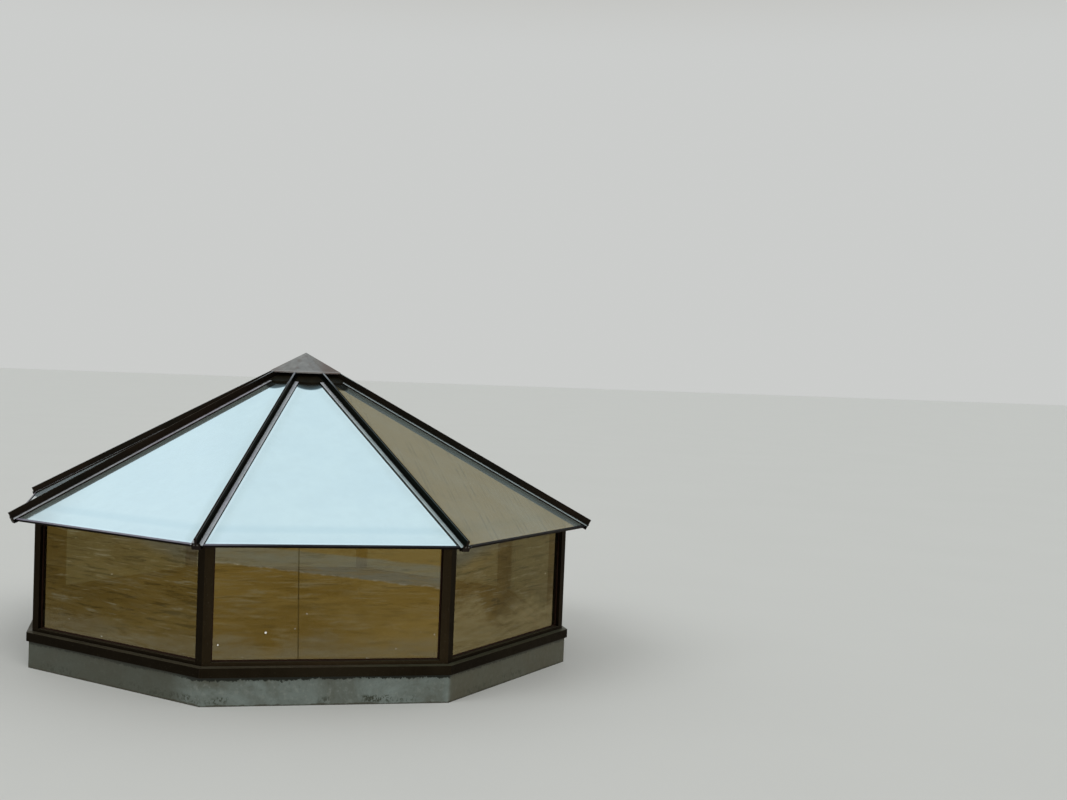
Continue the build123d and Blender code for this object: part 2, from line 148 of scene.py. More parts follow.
# Painted dark reflection of the cap round the collar: bend of its lower edge, its edge to side, its
# softening, and its outer, inner and film tones
REFLECTED_CAP_BEND = 3.0
REFLECTED_CAP_EDGE = (0.299, 0.262)
REFLECTED_CAP_SOFT = (0.0, 0.4)
REFLECTED_CAP_OUTER_TONE = (0.12, 0.17, 0.19)
REFLECTED_CAP_INNER_TONE = (0.01, 0.012, 0.01)
# Painted shade in patches on the pane that faces +X: where it starts along X, and its tone
SHADED_SIDE = (0.35, 0.6)
SHADE_PATCH_TONE = (0.74, 0.75, 0.72)
SLANT = (0.936, 0.189, -0.296)
SLANT_SCALE = 48.0
SLANT_TONE = (0.62, 0.65, 0.66)
# Extra matt film on that shaded side, growing towards the apex, as painted shade
SHADED_FILM_REACH = (0.9, 0.3)
# Matt film over the roof glass: tones tinted with painted sky light, bluer on the pane that faces -X, and
# darker near the hips as a painted reflection of the ribs
SKY_FILM_TONE = (0.60, 0.76, 0.78)
LEFT_SKY_FILM_TONE = (0.78, 0.94, 0.99)
LEFT_FILM_SIDE = (-0.35, -0.6)
TURNED_SKY_FILM_TONE = (0.60, 0.74, 0.73)
REFLECTED_RIB_FILM_TONE = (0.44, 0.53, 0.48)
REFLECTED_RIB_REACH = (0.10, 0.05)
REFLECTED_CAP_FILM_TONE = (0.08, 0.09, 0.08)
ROOF_CLEAR = 0.05
ROOF_TINT = (0.5, 0.48, 0.42)

# Wall glass: amber reflections, with places along X, and painted shade on the side and far panes
AMBER_DEEP = (0.36, 0.22, 0.042)
AMBER_LIGHT = (0.46, 0.295, 0.07)
AMBER_PALE = (0.52, 0.42, 0.22)
AMBER_DARK = (0.24, 0.135, 0.02)
SUNLIT_START = (0.0, 0.35)
SUNLIT_END = (0.64, 0.60)
SUNLIT_TONE = (0.60, 0.40, 0.11)
# Side panes by place along X, and the tone of the painted shade on them
LEFT_PANES = (-0.58, -0.62)
RIGHT_PANES = (0.58, 0.62)
SIDE_PANES_SHADE_TONE = (0.12, 0.085, 0.02)
# Painted shade on the far parts of the side panes: where it starts on each side, and its tone
FAR_LEFT = (-0.85, -1.15)
FAR_RIGHT = (0.78, 1.0)
FAR_SHADE_TONE = (0.08, 0.058, 0.012)
NEAR_RIGHT = (0.88, 0.72)

# Wall glass: painted reflections as a hazy band with its bright rim by height, leaning along X, and haze
# high up on the side panes
REFLECTED_BAND_LEAN = 0.115
REFLECTED_BAND_TOP_LEAN = 0.100
REFLECTED_BAND_FOOT = (0.629, 0.637)
REFLECTED_BAND_TOP = (0.725, 0.715)
REFLECTED_BAND_TONE = (0.36, 0.34, 0.25)
REFLECTED_RIM_FOOT = (0.627, 0.632)
REFLECTED_RIM_TOP = (0.640, 0.635)
REFLECTED_RIM_TONE = (0.60, 0.54, 0.40)
HIGH_HAZE = (0.50, 0.58)
HIGH_HAZE_LEAN = -0.25
HIGH_HAZE_TONE = (0.20, 0.19, 0.15)

# Wall glass: strokes, dirty foot, the thin dark line on the front pane (how far left of the middle it
# stands at the ground, and how much further per metre of height), and two pale specks (X and Z, radii)
DARK_STROKES = (0.13, 0.085, 0.02)
PALE_STROKES = (0.50, 0.44, 0.28)
WALL_FOOT = (0.50, 0.38)
WALL_FOOT_TONE = (0.40, 0.33, 0.19)
RIGHT_FOOT_TONE = (0.54, 0.43, 0.20)
FRONT_SIDE = (-1.35, -1.37)
THIN_LINE = (0.1311, 0.0243)
THIN_LINE_WIDTH = (0.0045, 0.0015)
THIN_LINE_TONE = (0.10, 0.06, 0.01)
SPECK_PLACES = ((-0.2918, 0.3386), (-0.5117, 0.2821))
SPECK_SIZES = (0.007, 0.005)
SPECK_TONE = (1.0, 0.95, 0.85)
SPECK_FILM_TONE = (0.95, 0.95, 0.92)
WALL_FILM_TONE = (0.42, 0.36, 0.24)
WALL_CLEAR = 0.5
SPECK_CLEAR = 0.05
WALL_TINT = (0.385, 0.39, 0.295)

# Curb: patches, flanks darker with painted shade and stains by place along X, drips, moss, clumps and the
# line of dirt at the ground
CURB_PATCHES = ((0.088, 0.092, 0.070), (0.132, 0.152, 0.132), (0.19, 0.225, 0.205))
CURB_PALE = (0.23, 0.25, 0.22)
CURB_DARK = (0.075, 0.078, 0.06)
RIGHT_FLANK_SHADE = (0.58, 0.61)
RIGHT_FLANK_SHADE_SHARE = 0.72
RIGHT_FLANK_SHADE_TONE = (0.070, 0.058, 0.028)
LEFT_FLANK_SHADE = (-0.58, -0.75)
LEFT_FLANK_SHADE_SHARE = 0.8
LEFT_FLANK_SHADE_TONE = (0.055, 0.054, 0.036)
FLANK_SHADE_CHANGE = (-0.1, 0.1)
DRIP_TOP = (0.03, 0.12)
DRIP_TONE = (0.07, 0.072, 0.052)
MOSS_EDGE = (0.1625, 0.1655)
MOSS_TONE = (0.010, 0.012, 0.006)
CLUMP_TOP = (0.052, 0.036)
CLUMP_FOOT = (0.004, 0.016)
CLUMP_TONE = (0.028, 0.03, 0.016)
DIRT_EDGE = (-0.006, -0.013)
DIRT_TONE = (0.05, 0.046, 0.03)

# Timber and screws
TIMBER_GRAIN = ((0.13, 0.085, 0.042), (0.24, 0.165, 0.09), (0.33, 0.24, 0.14))
TIMBER_DAMP = (0.09, 0.075, 0.055)
SCREW_TONES = ((0.20, 0.19, 0.17), (0.10, 0.09, 0.075))


def make_camera():
    yaw, pitch, roll = (math.radians(a) for a in (CAMERA_YAW, CAMERA_PITCH, CAMERA_ROLL))
    ahead = Vector((math.sin(yaw) * math.cos(pitch), math.cos(yaw) * math.cos(pitch), math.sin(pitch)))
    level = Vector((math.cos(yaw), -math.sin(yaw), 0.0))
    over = level.cross(ahead)
    right = level * math.cos(roll) + over * math.sin(roll)
    up = over * math.cos(roll) - level * math.sin(roll)
    data = bpy.data.cameras.new("camera")
    data.sensor_width = SENSOR_WIDTH
    data.lens = CAMERA_LENS
    data.shift_x, data.shift_y = CAMERA_SHIFT
    data.clip_end = CAMERA_REACH
    camera = bpy.data.objects.new("camera", data)
    turn = Matrix((right, up, -ahead)).transposed()
    camera.matrix_world = Matrix.Translation(CAMERA_PLACE) @ turn.to_4x4()
    bpy.context.scene.collection.objects.link(camera)
    bpy.context.scene.camera = camera


def scaled(tone, share):
    """Tone times one number, or times a number for each colour."""
    shares = share if isinstance(share, tuple) else (share,) * 3
    return tuple(c * k for c, k in zip(tone, shares))


class Finish:
    """Node tree of one material or world, with short calls for the nodes that the finishes share."""

    def __init__(self, name, world=False):
        library = bpy.data.worlds if world else bpy.data.materials
        self.owner = library.new(name)
        self.owner.use_nodes = True
        self.tree = self.owner.node_tree
        self.tree.nodes.clear()
        self.place = None

    def add(self, kind, **settings):
        node = self.tree.nodes.new(kind)
        for key, value in settings.items():
            setattr(node, key, value)
        return node

    def feed(self, socket, value):
        """Links an output to a socket, or sets a plain value on it."""
        if isinstance(value, bpy.types.NodeSocket):
            self.tree.links.new(value, socket)
        elif isinstance(value, (tuple, list)) and len(value) == 3 and len(socket.default_value) == 4:
            socket.default_value = (*value, 1.0)
        else:
            socket.default_value = value

    def coords(self):
        if self.place is None:
            self.place = self.add("ShaderNodeTexCoord").outputs["Object"]
        return self.place

    def stretched(self, scale, shift=(0.0, 0.0, 0.0)):
        node = self.add("ShaderNodeMapping")
        self.feed(node.inputs["Vector"], self.coords())
        node.inputs["Scale"].default_value = scale
        node.inputs["Location"].default_value = shift
        return node.outputs[0]

    def noise(self, scale, detail=NOISE_DETAIL, rough=0.5, distort=0.0, vector=None):
        node = self.add("ShaderNodeTexNoise")
        self.feed(node.inputs["Vector"], vector or self.coords())
        node.inputs["Scale"].default_value = scale
        node.inputs["Detail"].default_value = detail
        node.inputs["Roughness"].default_value = rough
        node.inputs["Distortion"].default_value = distort
        return node.outputs["Fac"]

    def lines(self, value, scale):
        """Uneven lines that a plain value runs across."""
        node = self.add("ShaderNodeTexNoise", noise_dimensions="1D")
        self.feed(node.inputs["W"], value)
        node.inputs["Scale"].default_value = scale
        node.inputs["Detail"].default_value = NOISE_DETAIL
        return node.outputs["Fac"]

    def span(self, value, low, high, to_low=0.0, to_high=1.0, smooth=True):
        """Value stretched from one range to another and held within it."""
        node = self.add("ShaderNodeMapRange", interpolation_type="SMOOTHSTEP" if smooth else "LINEAR")
        self.feed(node.inputs["Value"], value)
        node.inputs["From Min"].default_value = low
        node.inputs["From Max"].default_value = high
        node.inputs["To Min"].default_value = to_low
        node.inputs["To Max"].default_value = to_high
        return node.outputs["Result"]

    def calc(self, operation, a, b=0.0):
        node = self.add("ShaderNodeMath", operation=operation)
        self.feed(node.inputs[0], a)
        self.feed(node.inputs[1], b)
        return node.outputs[0]

    def chain(self, operation, values):
        total = values[0]
        for value in values[1:]:
            total = self.calc(operation, total, value)
        return total

    def times(self, *values):
        return self.chain("MULTIPLY", values)

    def plus(self, *values):
        return self.chain("ADD", values)

    def most(self, *values):
        return self.chain("MAXIMUM", values)

    def size(self, value):
        return self.calc("ABSOLUTE", value)

    def blend(self, share, a, b):
        node = self.add("ShaderNodeMix", data_type="RGBA")
        self.feed(node.inputs[MIX_SHARE], share)
        self.feed(node.inputs[MIX_FIRST], a)
        self.feed(node.inputs[MIX_SECOND], b)
        return node.outputs[MIX_RESULT]

    def ramp(self, value, places, tones):
        node = self.add("ShaderNodeValToRGB")
        self.feed(node.inputs[0], value)
        marks = node.color_ramp.elements
        while len(marks) < len(places):
            marks.new(0.5)
        for mark, place, tone in zip(marks, places, tones):
            mark.position = place
            mark.color = (*tone, 1.0)
        return node.outputs["Color"]

    def part(self, vector, axis):
        node = self.add("ShaderNodeSeparateXYZ")
        self.feed(node.inputs[0], vector)
        return node.outputs[axis]

    def x(self):
        return self.part(self.coords(), 0)

    def y(self):
        return self.part(self.coords(), 1)

    def height(self):
        return self.part(self.coords(), 2)

    def fold(self):
        """Distance to side, distance to hip, and the sine of the turn away from the side's direction."""
        x, y = self.x(), self.y()
        radius = self.calc("SQRT", self.plus(self.times(x, x), self.times(y, y)))
        turns = self.calc("DIVIDE", self.calc("ARCTAN2", y, x), SIDE_TURN)
        offside = self.calc("SUBTRACT", self.calc("FRACT", self.plus(turns, 0.5)), 0.5)
        turn = self.times(self.size(offside), SIDE_TURN)
        to_side = self.times(radius, self.calc("COSINE", turn))
        to_hip = self.times(radius, self.calc("SINE", self.calc("SUBTRACT", SIDE_TURN / 2, turn)))
        return to_side, to_hip, self.calc("SINE", turn)

    def on_front(self):
        return self.span(self.y(), *FRONT_SIDE)

    def spot(self, place, radius):
        """Close to 1 within a radius of a place along X and Z on the side that faces -Y."""
        off_x = self.plus(self.x(), -place[0])
        off_z = self.plus(self.height(), -place[1])
        apart = self.calc("SQRT", self.plus(self.times(off_x, off_x), self.times(off_z, off_z)))
        return self.times(self.span(apart, radius, 0.5 * radius), self.on_front())

    def facing_up(self):
        return self.part(self.add("ShaderNodeNewGeometry").outputs["Normal"], 2)

    def sideways(self):
        normal = self.add("ShaderNodeNewGeometry").outputs["Normal"]
        return self.size(self.part(normal, 0))

    def edges(self, radius):
        """Close to 1 along convex and concave edges within a radius, and 0 on flat ground."""
        rounded = self.add("ShaderNodeBevel", samples=EDGE_SAMPLES)
        rounded.inputs["Radius"].default_value = radius
        flat = self.add("ShaderNodeNewGeometry").outputs["Normal"]
        dot = self.add("ShaderNodeVectorMath", operation="DOT_PRODUCT")
        self.feed(dot.inputs[0], rounded.outputs[0])
        self.feed(dot.inputs[1], flat)
        return self.span(dot.outputs["Value"], *EDGE_AGREEMENT)

    def bump(self, height, depth, strength=1.0, radius=None):
        node = self.add("ShaderNodeBump")
        self.feed(node.inputs["Height"], height)
        node.inputs["Distance"].default_value = depth
        node.inputs["Strength"].default_value = strength
        if radius:
            rounded = self.add("ShaderNodeBevel", samples=BUMP_SAMPLES)
            rounded.inputs["Radius"].default_value = radius
            self.feed(node.inputs["Normal"], rounded.outputs[0])
        return node.outputs[0]

    def surface(self, colour, rough, normal=None, **settings):
        shader = self.add("ShaderNodeBsdfPrincipled")
        self.feed(shader.inputs["Base Color"], colour)
        self.feed(shader.inputs["Roughness"], rough)
        if normal is not None:
            self.feed(shader.inputs["Normal"], normal)
        for key, value in settings.items():
            self.feed(shader.inputs[key.replace("_", " ")], value)
        return shader.outputs[0]

    def mix(self, share, first, second):
        mixed = self.add("ShaderNodeMixShader")
        self.feed(mixed.inputs[0], share)
        self.tree.links.new(first, mixed.inputs[1])
        self.tree.links.new(second, mixed.inputs[2])
        return mixed.outputs[0]

    def finish(self, shader):
        output = self.add("ShaderNodeOutputMaterial")
        self.tree.links.new(shader, output.inputs["Surface"])
        return self.owner


def cap_film_and_highlights(f):
    """Where hip caps carry pale film, which is also painted sky sheen, on the wings, and a painted
    highlight on the rib's top near the apex and on chamfers that face sideways.
    """
    to_side, to_hip = f.fold()[:2]
    lying = f.span(f.facing_up(), *LYING)
    wing = f.span(to_hip, *WING_EDGE)
    top = f.times(f.span(to_hip, *RIB_EDGE, to_high=RIB_HIGHLIGHT), f.span(to_side, *RIB_HIGHLIGHT_REACH))
    chamfer = f.times(f.span(f.facing_up(), *CHAMFER_TILT), f.span(to_hip, *RIB_EDGE), CHAMFER_HIGHLIGHT)
    chamfer = f.times(chamfer, f.span(f.sideways(), *CHAMFER_TURN))
    scored = f.most(*(f.span(f.size(f.plus(to_hip, -line)), *SCORED_WIDTH) for line in SCORED_LINES))
    kept = f.span(scored, 0.0, 1.0, to_low=1.0, to_high=SCORED_FILM, smooth=False)
    return f.times(lying, kept, f.most(wing, top, chamfer))


def trim_film_and_sheen(f):
    """Where the eave trims carry film and painted sky sheen: on their upper faces, mostly on the sides
    that face -X.
    """
    lying = f.span(f.facing_up(), *TRIM_TOP)
    return f.times(lying, f.span(f.x(), *TRIM_SHEEN_REACH, *TRIM_FILM_AND_SHEEN))


def weathered_metal(name, dark, worn, film=0.0, film_tone=(0.2, 0.2, 0.2), rough=0.36, filmed=None,
                    flank_shade=0.0, flank_shade_tone=None):
    """Dark anodised metal: clouds, rain streaks, specks, worn edges, painted shade on faces turned
    sideways, and chalky film on upper faces, which on hip caps and eave trims is also painted sky sheen.
    """
    f = Finish(name)
    cloud = f.noise(2.3, detail=5.0, rough=0.6)
    tone = f.blend(f.span(cloud, 0.35, 0.7), dark, worn)
    streak = f.noise(9.0, rough=0.6, vector=f.stretched((6.0, 6.0, 0.35)))
    tone = f.blend(f.times(f.span(streak, 0.52, 0.72), 0.35), tone, worn)
    # Painted shade on faces turned sideways
    shaded_flank = f.span(f.sideways(), *FLANK_SHADE_TURN, to_high=flank_shade)
    tone = f.blend(shaded_flank, tone, flank_shade_tone or scaled(dark, 0.3))
    grain = f.noise(14.0, detail=6.0, rough=0.62)
    # Film on upper faces: chalky film, and on hip caps and eave trims also painted sky sheen
    film_and_sheen_cover = filmed(f) if filmed else f.span(f.facing_up(), *LYING)
    share = f.times(film_and_sheen_cover, f.span(grain, 0.2, 0.6, to_low=0.8 * film, to_high=film))
    fine = f.noise(70.0, rough=0.65, vector=f.stretched((1.0, 1.0, 0.4)))
    patchy = f.blend(f.span(fine, 0.32, 0.62), scaled(film_tone, 0.72), film_tone)
    mauve_tint = f.times(f.span(cloud, 0.5, 0.62, to_low=0.1, to_high=0.6), f.span(f.x(), *MAUVE_SIDE))
    patchy = f.blend(mauve_tint, patchy, scaled(film_tone, MAUVE))
    green_tint = f.span(f.x(), *VERDANT_SIDE, to_high=0.6)
    patchy = f.blend(green_tint, patchy, scaled(film_tone, VERDANT))
    tone = f.blend(share, tone, patchy)
    specks = f.span(f.noise(160.0, detail=2.0), 0.66, 0.74)
    tone = f.blend(f.times(specks, 0.2), tone, METAL_SPECKS)
    worn_share = f.span(f.noise(30.0, detail=3.0), 0.4, 0.7, to_low=0.1, to_high=0.4)
    tone = f.blend(f.times(f.edges(METAL_EDGE_RADIUS), worn_share), tone, METAL_EDGES)
    gloss = f.span(grain, 0.3, 0.7, to_low=rough - 0.06, to_high=rough + 0.12)
    gloss = f.plus(gloss, f.times(specks, 0.2))
    relief = f.plus(f.noise(420.0, detail=2.0), f.times(cloud, 2.0))
    normal = f.bump(relief, 0.00025, strength=0.5, radius=0.0008)
    metal = f.span(share, 0.0, 1.0, to_low=BARE_METALLIC, to_high=FILMED_METALLIC, smooth=False)
    return f.finish(f.surface(
        tone, gloss, normal, Metallic=metal, Specular_IOR_Level=METAL_SHINE, Specular_Tint=EDGE_SHEEN
    ))


def cap_sheet():
    """Weathered grey sheet of the apex cap, with brown staining and lighter folded edges."""
    f = Finish("cap_sheet_finish")
    cloud = f.noise(11.0, detail=6.0, rough=0.65, distort=0.4)
    tone = f.ramp(cloud, (0.25, 0.45, 0.7), CAP_STAINS)
    runs = f.noise(26.0, rough=0.6, vector=f.stretched((1.0, 1.0, 0.25)))
    tone = f.blend(f.times(f.span(runs, 0.5, 0.68), 0.5), tone, CAP_RUNS)
    stained = f.plus(f.x(), f.times(f.noise(5.0), 0.1))
    tone = f.blend(f.span(stained, *RIGHT_STAIN, to_high=0.7), tone, RIGHT_STAIN_TONE)
    stained = f.plus(f.x(), f.times(f.noise(7.0), -0.08))
    tone = f.blend(f.span(stained, *LEFT_STAIN, to_high=0.6), tone, LEFT_STAIN_TONE)
    tone = f.blend(f.times(f.edges(CAP_EDGE_RADIUS), 0.5), tone, CAP_EDGE_TONE)
    hem = f.times(f.span(f.height(), *HEM_TOP), f.span(f.height(), *HEM_FOOT), 0.45)
    tone = f.blend(hem, tone, HEM_TONE)
    gloss = f.span(cloud, 0.3, 0.7, to_low=0.42, to_high=0.62)
    relief = f.plus(cloud, f.times(f.noise(300.0, detail=2.0), 0.3))
    normal = f.bump(relief, 0.0008, strength=0.6, radius=0.0015)
    return f.finish(f.surface(tone, gloss, normal, Metallic=0.3))


def rubber(name, dark, dusty):
    """Dull black rubber, greyed a little by dust where it faces up."""
    f = Finish(name)
    dust = f.noise(28.0, detail=6.0, rough=0.65)
    tone = f.blend(f.span(dust, 0.42, 0.75), dark, dusty)
    patches = f.span(f.noise(6.0, detail=5.0), 0.4, 0.65, to_high=0.3)
    tone = f.blend(f.times(f.span(f.facing_up(), 0.3, 0.9), patches), tone, dusty)
    normal = f.bump(f.noise(520.0, detail=3.0), 0.0003, strength=0.5, radius=0.001)
    gloss = f.span(dust, 0.3, 0.7, to_low=0.52, to_high=0.77)
    return f.finish(f.surface(tone, gloss, normal, Specular_IOR_Level=0.08))


def see_through(f, mirror, share, tint):
    """Mixes a mirror-like surface with a clear one; where a ray leaves the pane, it is all clear."""
    leaving = f.add("ShaderNodeNewGeometry").outputs["Backfacing"]
    clear = f.add("ShaderNodeBsdfTransparent")
    f.feed(clear.inputs["Color"], f.blend(leaving, tint, WHITE))
    return f.mix(f.most(leaving, share), mirror, clear.outputs[0])


def veiled(f, mirror, share, tone):
    """Lays a thin matt film over a mirror-like surface."""
    film = f.add("ShaderNodeBsdfDiffuse")
    f.feed(film.inputs["Color"], tone)
    return f.mix(share, mirror, film.outputs[0])


def slanting_lines(f, turned):
    """Fine broken lines on the roof pane between the sides that face -Y and +X."""
    slant = f.plus(f.times(f.x(), SLANT[0]), f.times(f.y(), SLANT[1]), f.times(f.height(), SLANT[2]))
    broken = f.span(f.noise(9.0, rough=0.6), 0.44, 0.6, to_low=0.15, to_high=0.8)
    return f.times(f.span(f.lines(slant, SLANT_SCALE), 0.5, 0.66), broken, turned)


def roof_glass():
    """Coated roof glass: mirrors the sky under a thin film tinted with painted sky light, with marks, dirt
    by the eave, a painted dark reflection of the cap round the collar, and painted shade on the pane that
    faces +X.
    """
    f = Finish("roof_glass_finish")
    to_side, to_hip, sine = f.fold()
    film = f.noise(3.2, detail=5.0, rough=0.6)
    runs = f.noise(16.0, detail=5.0, rough=0.65, distort=0.3, vector=f.stretched((1.0, 1.0, 0.3)))
    marks = f.span(f.noise(34.0, detail=6.0, rough=0.7), 0.55, 0.8)
    tone = f.blend(f.span(film, 0.3, 0.75), *ROOF_TONES)
    tone = f.blend(f.span(runs, 0.4, 0.7, to_high=0.4), tone, ROOF_RUNS)
    rail = f.times(f.span(to_side, *RAIL_START), f.span(to_side, *RAIL_END))
    tone = f.blend(f.times(rail, 0.5), tone, RAIL_TONE)
    wiped = f.most(f.span(to_hip, *CLEAN_BY_HIP), f.span(to_side, *CLEAN_BY_EAVE))
    tone = f.blend(wiped, tone, WHITE)
    foot = f.times(f.span(to_side, *ROOF_FOOT), f.span(film, 0.3, 0.7, to_low=0.1, to_high=0.4))
    tone = f.blend(foot, tone, ROOF_FOOT_TONE)

    # Painted dark reflection of the cap round the collar, with a rounded lower edge
    round_edge = f.times(f.calc("SQRT", f.plus(1.0, f.times(sine, sine, REFLECTED_CAP_BEND))), to_side)
    reflected_cap = f.span(f.plus(round_edge, f.times(film, 0.02)), *REFLECTED_CAP_EDGE, smooth=False)
    tone = f.blend(f.span(reflected_cap, *REFLECTED_CAP_SOFT), tone, f.blend(reflected_cap, REFLECTED_CAP_OUTER_TONE, REFLECTED_CAP_INNER_TONE))

    # Painted shade in patches on the pane that faces +X
    elsewhere = f.stretched((1.0, 2.2, 1.0), (2.0, 0.0, 0.0))
    shade_patches = f.noise(7.0, detail=5.0, rough=0.65, distort=0.4, vector=elsewhere)
    shaded = f.span(f.x(), *SHADED_SIDE)
    tone = f.blend(f.times(f.span(shade_patches, 0.44, 0.62), shaded, 0.25), tone, SHADE_PATCH_TONE)
    x, y = f.x(), f.y()
    turned = f.times(
        f.span(f.plus(x, f.times(f.size(y), -SIDE_SPREAD)), *SIDE_SPREAD_FADE),
        f.span(f.plus(f.times(y, -1.0), f.times(x, -SIDE_SPREAD)), *SIDE_SPREAD_FADE)
    )
    tone = f.blend(slanting_lines(f, turned), tone, SLANT_TONE)

    gloss = f.span(film, 0.3, 0.7, to_low=0.03, to_high=0.07)
    gloss = f.plus(gloss, f.times(foot, 0.15), f.times(marks, 0.1))
    normal = f.bump(f.noise(1.6, detail=1.0), 0.004, strength=0.25)
    mirror = f.surface(tone, gloss, normal, Metallic=1.0)
    share = f.span(f.plus(film, f.times(marks, 0.3)), 0.3, 0.9, to_low=0.15, to_high=0.21)
    # More matt film on the shaded side towards the apex, as painted shade
    share = f.plus(share, f.times(shaded, f.span(to_side, *SHADED_FILM_REACH, to_high=0.05)))
    # Matt film tones: painted sky light by pane, and a painted reflection of the ribs near the hips
    matt = f.blend(f.span(f.x(), *LEFT_FILM_SIDE), SKY_FILM_TONE, LEFT_SKY_FILM_TONE)
    matt = f.blend(turned, matt, TURNED_SKY_FILM_TONE)
    matt = f.blend(f.span(to_hip, *REFLECTED_RIB_REACH), matt, REFLECTED_RIB_FILM_TONE)
    matt = f.blend(f.span(reflected_cap, *REFLECTED_CAP_SOFT), matt, REFLECTED_CAP_FILM_TONE)
    return f.finish(see_through(f, veiled(f, mirror, share, matt), ROOF_CLEAR, ROOF_TINT))


def wall_glass():
    """Bronze glass of the upright panes: half mirror, half clear, with painted reflections as streaks and
    a hazy band with a bright lower edge, painted shade on the side panes, hazy grey high up on them, and a
    dirty foot.
    """
    f = Finish("wall_glass_finish")
    across = f.x()
    streaks = f.noise(1.9, detail=6.0, rough=0.62, distort=0.6, vector=f.stretched((0.8, 0.8, 3.6)))
    finer = f.stretched((0.6, 0.6, 4.5), (3.0, 1.0, 2.0))
    fine = f.noise(8.0, detail=7.0, rough=0.75, distort=0.5, vector=finer)
    tone = f.blend(f.span(streaks, 0.38, 0.62), AMBER_DEEP, AMBER_LIGHT)
    tone = f.blend(f.times(f.span(fine, 0.5, 0.68), 0.6), tone, AMBER_PALE)
    tone = f.blend(f.times(f.span(fine, 0.46, 0.32), 0.5), tone, AMBER_DARK)
    sunlit = f.times(f.span(across, *SUNLIT_START), f.span(across, *SUNLIT_END), 0.35)
    tone = f.blend(sunlit, tone, SUNLIT_TONE)
    # Side panes painted darker: painted shade
    left, right = f.span(across, *LEFT_PANES), f.span(across, *RIGHT_PANES)
    tone = f.blend(f.plus(f.times(left, 0.4), f.times(right, 0.3)), tone, SIDE_PANES_SHADE_TONE)
    aside = f.plus(left, right)
    square_on = f.calc("SUBTRACT", 1.0, aside)

    # Painted reflections: a hazy band across the front panes, with a bright rim along its foot
    wave = f.noise(5.0, detail=5.0, rough=0.65, vector=f.stretched((1.0, 1.0, 0.0)))
    level = f.plus(f.height(), f.times(across, REFLECTED_BAND_LEAN), f.times(wave, 0.045))
    upper = f.plus(f.height(), f.times(across, REFLECTED_BAND_TOP_LEAN), f.times(wave, 0.02))
    reflected_band = f.times(f.span(level, *REFLECTED_BAND_FOOT), f.span(upper, *REFLECTED_BAND_TOP))
    reflected_band = f.times(reflected_band, f.span(fine, 0.35, 0.6, to_low=0.5, to_high=0.9))
    tone = f.blend(f.times(reflected_band, square_on), tone, REFLECTED_BAND_TONE)
    high = f.plus(f.height(), f.times(wave, 0.1), f.times(f.size(across), HIGH_HAZE_LEAN))
    tone = f.blend(f.times(f.span(high, *HIGH_HAZE), aside, 0.7), tone, HIGH_HAZE_TONE)
    broken = f.span(f.noise(26.0, rough=0.6), 0.42, 0.6)
    reflected_rim = f.times(f.span(level, *REFLECTED_RIM_FOOT), f.span(level, *REFLECTED_RIM_TOP), broken)
    tone = f.blend(f.times(reflected_rim, square_on, 0.6), tone, REFLECTED_RIM_TONE)

    flattened = f.stretched((0.45, 0.45, 5.5), (1.0, 4.0, 0.0))
    strokes = f.noise(11.0, detail=5.0, rough=0.7, distort=0.4, vector=flattened)
    kept = f.span(square_on, 0.0, 1.0, to_low=0.7, to_high=0.3)
    tone = f.blend(f.times(f.span(strokes, 0.46, 0.38), kept), tone, DARK_STROKES)
    tone = f.blend(f.times(f.span(strokes, 0.56, 0.66), kept), tone, PALE_STROKES)
    # Painted shade, deeper on the far parts of the side panes
    far_shade = f.most(f.span(across, *FAR_LEFT), f.span(across, *FAR_RIGHT))
    far_shade = f.times(far_shade, f.span(across, -0.5, 0.5, to_low=0.18, to_high=0.40))
    tone = f.blend(far_shade, tone, FAR_SHADE_TONE)

    near = f.times(right, f.span(across, *NEAR_RIGHT), -0.14)
    uneven = f.times(f.noise(3.0, detail=5.0, rough=0.6), 0.3)
    low = f.plus(f.height(), uneven, f.times(right, -0.06), near)
    foot = f.times(f.span(low, *WALL_FOOT), f.span(fine, 0.35, 0.6, to_low=0.3, to_high=0.8))
    tone = f.blend(foot, tone, f.blend(right, WALL_FOOT_TONE, RIGHT_FOOT_TONE))
    beside = f.size(f.plus(across, THIN_LINE[0], f.times(f.height(), THIN_LINE[1])))
    thin = f.times(f.span(beside, *THIN_LINE_WIDTH), f.on_front())
    tone = f.blend(f.times(thin, f.span(fine, 0.3, 0.6, to_low=0.55, to_high=0.8)), tone, THIN_LINE_TONE)
    spots = f.most(*(f.spot(place, size) for place, size in zip(SPECK_PLACES, SPECK_SIZES)))
    specks = f.most(spots, f.span(f.noise(48.0, detail=2.0, rough=0.4), 0.785, 0.80))
    tone = f.blend(specks, tone, SPECK_TONE)

    gloss = f.plus(f.span(fine, 0.4, 0.75, to_low=0.03, to_high=0.1), f.times(foot, 0.1))
    waviness = f.noise(2.4, detail=2.0, vector=f.stretched((0.6, 0.6, 2.0)))
    mirror = f.surface(tone, gloss, f.bump(waviness, 0.003, strength=0.3), Metallic=1.0)
    film = f.plus(f.span(fine, 0.4, 0.8, to_low=0.01, to_high=0.05), f.times(spots, 0.8))
    coated = veiled(f, mirror, film, f.blend(spots, WALL_FILM_TONE, SPECK_FILM_TONE))
    clear = f.span(spots, 0.0, 1.0, to_low=WALL_CLEAR, to_high=SPECK_CLEAR)
    return f.finish(see_through(f, coated, clear, WALL_TINT))


